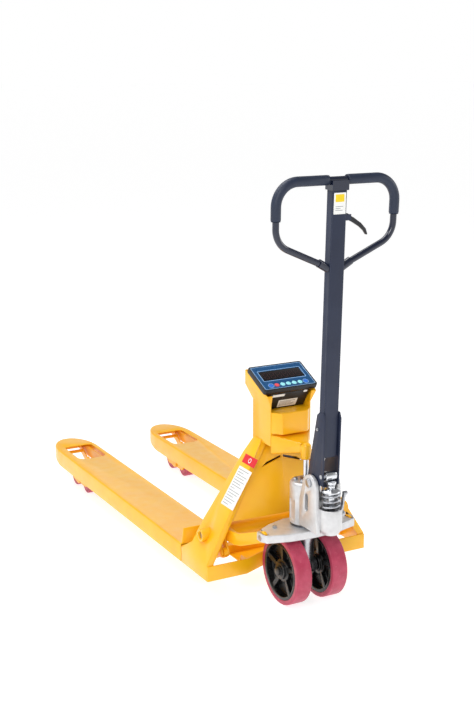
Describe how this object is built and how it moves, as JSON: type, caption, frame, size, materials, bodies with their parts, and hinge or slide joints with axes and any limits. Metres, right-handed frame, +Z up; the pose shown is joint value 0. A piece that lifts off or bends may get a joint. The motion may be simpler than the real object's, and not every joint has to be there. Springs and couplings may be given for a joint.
{
  "type": "weighing pallet truck",
  "caption": "Hand pallet truck with weighing forks: sprung tiller, pump and steer wheels, rocker-lifted tandem load rollers, and a sloping weight indicator on a column.",
  "frame": {"origin": "middle of the whole truck's footprint, on the floor that the wheels stand on", "axes": "+Y towards the fork tips, +X to the operator's right seen from the tiller, +Z up"},
  "size_m": [0.54, 1.58, 1.2372],
  "materials": {
    "powder_coat_yellow": "bright yellow-orange powder coat, semi-gloss",
    "cell_aluminium": "anodised load cell",
    "zinc_steel": "zinc-plated steel",
    "chrome": "hard chrome, polished",
    "battery_grey": "moulded battery case",
    "case_black": "moulded black ABS",
    "overlay_blue": "blue printed polyester membrane",
    "window_dark": "dark smoked acrylic",
    "board_green": "printed circuit board",
    "cast_silver": "silver-grey painted casting",
    "bearing_steel": "ground bearing steel",
    "dark_paint": "dark blue-grey paint, satin",
    "black_paint": "black paint, satin",
    "grip_black": "moulded black grip",
    "key_blue": "blue key with pale ring",
    "key_red": "red key",
    "key_cyan": "pale cyan key",
    "wheel_black": "black enamelled casting",
    "polyurethane_red": "crimson cast polyurethane, satin"
  },
  "bodies": {
    "frame": {"side_plate_left": "powder_coat_yellow", "side_plate_right": "powder_coat_yellow", "front_panel": "powder_coat_yellow", "bumper_strip": "powder_coat_yellow", "crosshead": "powder_coat_yellow", "column": "powder_coat_yellow", "battery_cover": "powder_coat_yellow", "battery": "battery_grey", "indicator_panel": "case_black", "indicator_housing": "case_black", "keypad_overlay": "overlay_blue", "display_window": "window_dark", "circuit_board": "board_green", "fork_frame": "powder_coat_yellow", "weigh_platform_left": "powder_coat_yellow", "weigh_platform_right": "powder_coat_yellow", "load_cells": "cell_aluminium", "shaft_bosses": "powder_coat_yellow", "rocker_shaft": "zinc_steel", "piston_rod": "chrome"},
    "thrust": {"thrust_plate": "cast_silver", "thrust_pins": "zinc_steel", "thrust_bearing": "bearing_steel"},
    "steering": {"pump_body": "cast_silver", "pump_fittings": "zinc_steel", "kingpin": "zinc_steel", "steer_axle": "zinc_steel", "tiller_pin": "zinc_steel"},
    "release_lever": {"release_lever": "zinc_steel"},
    "plunger": {"plunger": "chrome", "plunger_spring": "chrome"},
    "tiller": {"tiller_tube": "dark_paint", "handle_loop": "black_paint", "handle_grip": "grip_black", "press_pin": "zinc_steel", "lever_bracket": "dark_paint"},
    "press_roller": {"press_roller": "chrome"},
    "control_lever": {"control_lever": "case_black"},
    "rocker": {"rocker": "powder_coat_yellow"},
    "steer_wheel_left": {"steer_hub_left": "wheel_black", "steer_tread_left": "polyurethane_red"},
    "push_rod_left": {"push_rod_left": "powder_coat_yellow"},
    "roller_frame_left": {"roller_frame_left": "powder_coat_yellow"},
    "bogie_left": {"bogie_left": "powder_coat_yellow"},
    "load_roller_left_rear": {"load_roller_left_rear": "polyurethane_red"},
    "load_roller_left_front": {"load_roller_left_front": "polyurethane_red"},
    "steer_wheel_right": {"steer_hub_right": "wheel_black", "steer_tread_right": "polyurethane_red"},
    "push_rod_right": {"push_rod_right": "powder_coat_yellow"},
    "roller_frame_right": {"roller_frame_right": "powder_coat_yellow"},
    "bogie_right": {"bogie_right": "powder_coat_yellow"},
    "load_roller_right_rear": {"load_roller_right_rear": "polyurethane_red"},
    "load_roller_right_front": {"load_roller_right_front": "polyurethane_red"},
    "key_1": {"key_1": "key_blue"},
    "key_2": {"key_2": "key_red"},
    "key_3": {"key_3": "key_cyan"},
    "key_4": {"key_4": "key_cyan"},
    "key_5": {"key_5": "key_cyan"},
    "key_6": {"key_6": "key_cyan"},
    "key_7": {"key_7": "key_blue"}
  },
  "joints": [
    {"name": "lift", "type": "slide", "parent": "frame", "child": "thrust", "axis": [0, 0, -1], "range_m": [-0.04, 0.075]},
    {"name": "steer", "type": "hinge", "parent": "thrust", "child": "steering", "pos_m": [0, -0.624, 0.23], "axis": [0, 0, 1], "range_deg": [-80, 80]},
    {"name": "tiller_tilt", "type": "hinge", "parent": "steering", "child": "tiller", "pos_m": [0, -0.708, 0.385], "axis": [1, 0, 0], "range_deg": [0, 70], "stiffness_Nm_per_rad": 26, "springref_deg": -20.05},
    {"name": "plunger_slide", "type": "slide", "parent": "steering", "child": "plunger", "axis": [0, 0, -1], "range_m": [0, 0.0575], "deforming": ["plunger_spring"]},
    {"name": "press_roller_spin", "type": "hinge", "parent": "tiller", "child": "press_roller", "pos_m": [0, -0.7479, 0.41159], "axis": [1, 0, 0], "continuous": true},
    {"name": "control_lever_tilt", "type": "hinge", "parent": "tiller", "child": "control_lever", "pos_m": [0.0325, -0.75706, 1.12478], "axis": [0, 0.9995, 0.0332], "range_deg": [-10, 12]},
    {"name": "release_lever_tilt", "type": "hinge", "parent": "steering", "child": "release_lever", "pos_m": [0.037, -0.758, 0.298], "axis": [1, 0, 0], "range_deg": [-10, 12]},
    {"name": "rocker_swing", "type": "hinge", "parent": "frame", "child": "rocker", "pos_m": [0, -0.452, 0.18], "axis": [1, 0, 0], "range_deg": [-12.93, 23.98]},
    {"name": "steer_wheel_left_spin", "type": "hinge", "parent": "steering", "child": "steer_wheel_left", "pos_m": [-0.0595, -0.624, 0.1], "axis": [1, 0, 0], "continuous": true},
    {"name": "push_rod_left_swing", "type": "hinge", "parent": "rocker", "child": "push_rod_left", "pos_m": [-0.194, -0.492, 0.13], "axis": [1, 0, 0], "range_deg": [-24.71, 13.32]},
    {"name": "roller_frame_left_swing", "type": "hinge", "parent": "frame", "child": "roller_frame_left", "pos_m": [-0.194, 0.742, 0.103], "axis": [1, 0, 0], "range_deg": [-14.38, 26.7]},
    {"name": "bogie_left_swing", "type": "hinge", "parent": "roller_frame_left", "child": "bogie_left", "pos_m": [-0.194, 0.566, 0.037], "axis": [1, 0, 0], "range_deg": [-26.7, 14.38]},
    {"name": "load_roller_left_rear_spin", "type": "hinge", "parent": "bogie_left", "child": "load_roller_left_rear", "pos_m": [-0.194, 0.514, 0.037], "axis": [1, 0, 0], "continuous": true},
    {"name": "load_roller_left_front_spin", "type": "hinge", "parent": "bogie_left", "child": "load_roller_left_front", "pos_m": [-0.194, 0.618, 0.037], "axis": [1, 0, 0], "continuous": true},
    {"name": "steer_wheel_right_spin", "type": "hinge", "parent": "steering", "child": "steer_wheel_right", "pos_m": [0.0595, -0.624, 0.1], "axis": [1, 0, 0], "continuous": true},
    {"name": "push_rod_right_swing", "type": "hinge", "parent": "rocker", "child": "push_rod_right", "pos_m": [0.194, -0.492, 0.13], "axis": [1, 0, 0], "range_deg": [-24.71, 13.32]},
    {"name": "roller_frame_right_swing", "type": "hinge", "parent": "frame", "child": "roller_frame_right", "pos_m": [0.194, 0.742, 0.103], "axis": [1, 0, 0], "range_deg": [-14.38, 26.7]},
    {"name": "bogie_right_swing", "type": "hinge", "parent": "roller_frame_right", "child": "bogie_right", "pos_m": [0.194, 0.566, 0.037], "axis": [1, 0, 0], "range_deg": [-26.7, 14.38]},
    {"name": "load_roller_right_rear_spin", "type": "hinge", "parent": "bogie_right", "child": "load_roller_right_rear", "pos_m": [0.194, 0.514, 0.037], "axis": [1, 0, 0], "continuous": true},
    {"name": "load_roller_right_front_spin", "type": "hinge", "parent": "bogie_right", "child": "load_roller_right_front", "pos_m": [0.194, 0.618, 0.037], "axis": [1, 0, 0], "continuous": true},
    {"name": "key_1_press", "type": "slide", "parent": "frame", "child": "key_1", "axis": [0, 0.4179, -0.9085], "range_m": [0, 0.0008], "stiffness_N_per_m": 800, "springref_m": -0.0005},
    {"name": "key_2_press", "type": "slide", "parent": "frame", "child": "key_2", "axis": [0, 0.4179, -0.9085], "range_m": [0, 0.0008], "stiffness_N_per_m": 800, "springref_m": -0.0005},
    {"name": "key_3_press", "type": "slide", "parent": "frame", "child": "key_3", "axis": [0, 0.4179, -0.9085], "range_m": [0, 0.0008], "stiffness_N_per_m": 800, "springref_m": -0.0005},
    {"name": "key_4_press", "type": "slide", "parent": "frame", "child": "key_4", "axis": [0, 0.4179, -0.9085], "range_m": [0, 0.0008], "stiffness_N_per_m": 800, "springref_m": -0.0005},
    {"name": "key_5_press", "type": "slide", "parent": "frame", "child": "key_5", "axis": [0, 0.4179, -0.9085], "range_m": [0, 0.0008], "stiffness_N_per_m": 800, "springref_m": -0.0005},
    {"name": "key_6_press", "type": "slide", "parent": "frame", "child": "key_6", "axis": [0, 0.4179, -0.9085], "range_m": [0, 0.0008], "stiffness_N_per_m": 800, "springref_m": -0.0005},
    {"name": "key_7_press", "type": "slide", "parent": "frame", "child": "key_7", "axis": [0, 0.4179, -0.9085], "range_m": [0, 0.0008], "stiffness_N_per_m": 800, "springref_m": -0.0005}
  ],
  "couplings": [
    {"joint": "plunger_slide", "follows": "tiller_tilt", "m_per_rad": 0.0462},
    {"joint": "release_lever_tilt", "follows": "control_lever_tilt", "ratio": 1},
    {"joint": "rocker_swing", "follows": "lift", "rad_per_m": 5.51},
    {"joint": "push_rod_left_swing", "follows": "lift", "rad_per_m": -5.681},
    {"joint": "roller_frame_left_swing", "follows": "lift", "rad_per_m": 6.1436},
    {"joint": "bogie_left_swing", "follows": "lift", "rad_per_m": -6.1436},
    {"joint": "push_rod_right_swing", "follows": "lift", "rad_per_m": -5.681},
    {"joint": "roller_frame_right_swing", "follows": "lift", "rad_per_m": 6.1436},
    {"joint": "bogie_right_swing", "follows": "lift", "rad_per_m": -6.1436}
  ]
}
